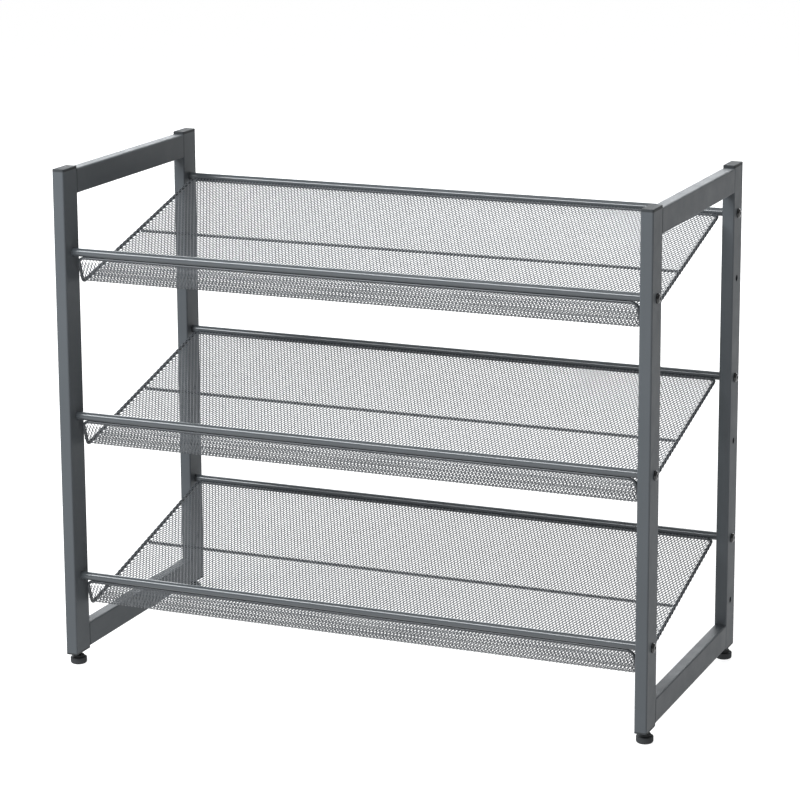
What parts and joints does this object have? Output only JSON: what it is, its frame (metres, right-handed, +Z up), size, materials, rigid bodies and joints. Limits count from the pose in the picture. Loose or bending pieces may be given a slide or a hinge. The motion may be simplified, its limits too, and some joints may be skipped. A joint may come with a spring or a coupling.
{
  "type": "stackable shoe rack",
  "caption": "Free-standing stackable shoe rack: rectangular-tube side frames carry sloping mesh shelves with V-shaped heel stops, on round levelling feet.",
  "frame": {"origin": "on the floor under the middle of the rack, feet at their rest height", "axes": "+X along the shelves to the right as seen from the front, +Y to the back, +Z up"},
  "size_m": [0.7466, 0.345, 0.6132],
  "materials": {
    "painted_steel": "satin",
    "painted_wire": "satin",
    "painted_mesh": "satin",
    "cap_plastic": "matt",
    "foot_plastic": "matt",
    "screw_steel": "black",
    "plain_steel": "zinc"
  },
  "bodies": {
    "rack": {"left_front_post": "painted_steel", "left_front_top_cap": "cap_plastic", "left_front_bottom_plug": "cap_plastic", "left_front_foot_nut": "plain_steel", "left_front_screws": "screw_steel", "left_rear_post": "painted_steel", "left_rear_top_cap": "cap_plastic", "left_rear_bottom_plug": "cap_plastic", "left_rear_foot_nut": "plain_steel", "left_rear_screws": "screw_steel", "right_front_post": "painted_steel", "right_front_top_cap": "cap_plastic", "right_front_bottom_plug": "cap_plastic", "right_front_foot_nut": "plain_steel", "right_front_screws": "screw_steel", "right_rear_post": "painted_steel", "right_rear_top_cap": "cap_plastic", "right_rear_bottom_plug": "cap_plastic", "right_rear_foot_nut": "plain_steel", "right_rear_screws": "screw_steel", "left_top_rail": "painted_steel", "left_bottom_rail": "painted_steel", "right_top_rail": "painted_steel", "right_bottom_rail": "painted_steel", "lower_front_tube": "painted_steel", "lower_front_tube_inserts": "plain_steel", "lower_rear_tube": "painted_steel", "lower_rear_tube_inserts": "plain_steel", "lower_rear_collars": "cap_plastic", "lower_wire_frame": "painted_wire", "lower_middle_wire": "painted_wire", "lower_mesh_panel": "painted_mesh", "middle_front_tube": "painted_steel", "middle_front_tube_inserts": "plain_steel", "middle_rear_tube": "painted_steel", "middle_rear_tube_inserts": "plain_steel", "middle_rear_collars": "cap_plastic", "middle_wire_frame": "painted_wire", "middle_middle_wire": "painted_wire", "middle_mesh_panel": "painted_mesh", "upper_front_tube": "painted_steel", "upper_front_tube_inserts": "plain_steel", "upper_rear_tube": "painted_steel", "upper_rear_tube_inserts": "plain_steel", "upper_rear_collars": "cap_plastic", "upper_wire_frame": "painted_wire", "upper_middle_wire": "painted_wire", "upper_mesh_panel": "painted_mesh"},
    "left_front_foot": {"left_front_foot_pad": "foot_plastic", "left_front_foot_stud": "screw_steel"},
    "left_rear_foot": {"left_rear_foot_pad": "foot_plastic", "left_rear_foot_stud": "screw_steel"},
    "right_front_foot": {"right_front_foot_pad": "foot_plastic", "right_front_foot_stud": "screw_steel"},
    "right_rear_foot": {"right_rear_foot_pad": "foot_plastic", "right_rear_foot_stud": "screw_steel"}
  },
  "joints": [
    {"name": "left_front_foot_screw", "type": "slide", "parent": "rack", "child": "left_front_foot", "axis": [0, 0, 1], "range_m": [-0.008, 0.004]},
    {"name": "left_rear_foot_screw", "type": "slide", "parent": "rack", "child": "left_rear_foot", "axis": [0, 0, 1], "range_m": [-0.008, 0.004]},
    {"name": "right_front_foot_screw", "type": "slide", "parent": "rack", "child": "right_front_foot", "axis": [0, 0, 1], "range_m": [-0.008, 0.004]},
    {"name": "right_rear_foot_screw", "type": "slide", "parent": "rack", "child": "right_rear_foot", "axis": [0, 0, 1], "range_m": [-0.008, 0.004]}
  ]
}
